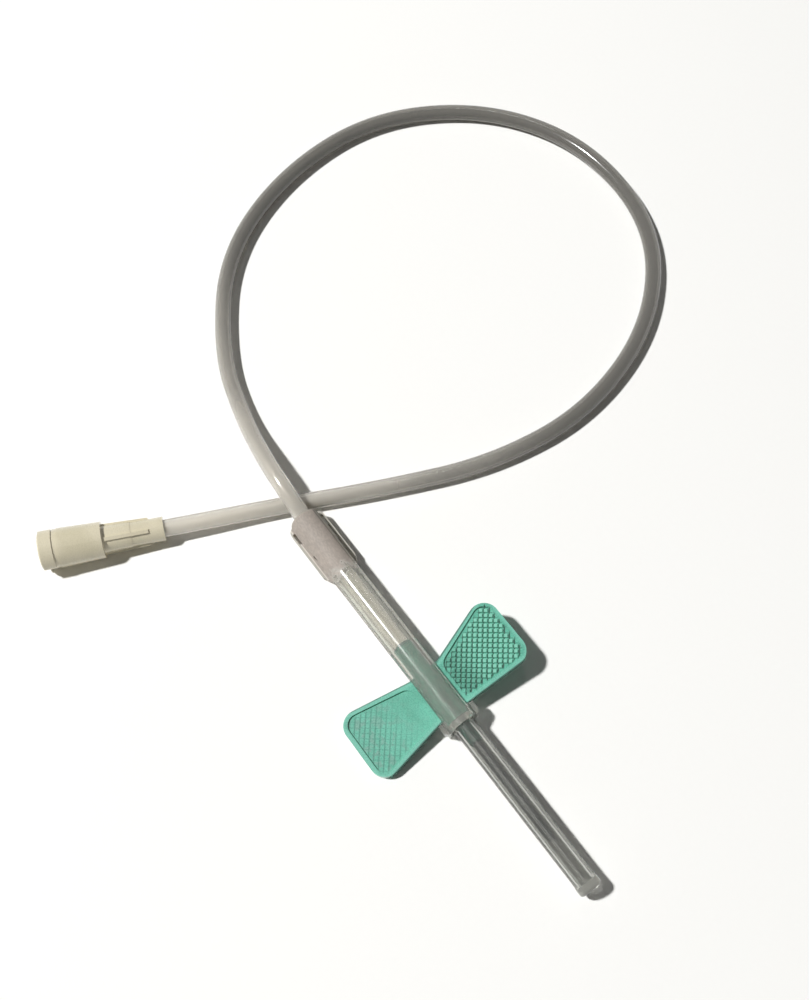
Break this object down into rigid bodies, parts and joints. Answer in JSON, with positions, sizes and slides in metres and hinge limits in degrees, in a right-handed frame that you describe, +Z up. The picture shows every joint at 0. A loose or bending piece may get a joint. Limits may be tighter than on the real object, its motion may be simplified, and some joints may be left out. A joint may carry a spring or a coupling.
{
  "type": "winged needle set",
  "caption": "Winged needle set with a sliding safety sleeve, pull-off needle cover, clear tubing and a female luer connector.",
  "frame": {"origin": "centre of the underside of the needle set's box, without the tubing and the luer connector", "axes": "+X along the needle towards its tip, +Y towards the right wing, +Z up"},
  "size_m": [0.1663, 0.1554, 0.0082],
  "materials": {
    "green_vinyl": "soft translucent green vinyl with a satin moulded surface",
    "needle_steel": "drawn stainless steel tube",
    "clear_tube": "clear soft vinyl tubing",
    "ivory_plastic": "ivory moulded plastic",
    "clear_sleeve": "clear rigid moulding, frosted on top at the rear",
    "clear_cover": "smoky clear moulded plastic"
  },
  "bodies": {
    "hub_set": {"wing_hub": "green_vinyl", "cannula": "needle_steel", "tubing": "clear_tube", "luer_connector": "ivory_plastic"},
    "sleeve": {"safety_sleeve": "clear_sleeve"},
    "cover": {"needle_cover": "clear_cover"}
  },
  "joints": [
    {"name": "sleeve_slide", "type": "slide", "parent": "hub_set", "child": "sleeve", "axis": [1, 0, 0], "range_m": [0, 0.031]},
    {"name": "cover_pull", "type": "slide", "parent": "hub_set", "child": "cover", "axis": [1, 0, 0], "range_m": [0, 0.04]}
  ]
}
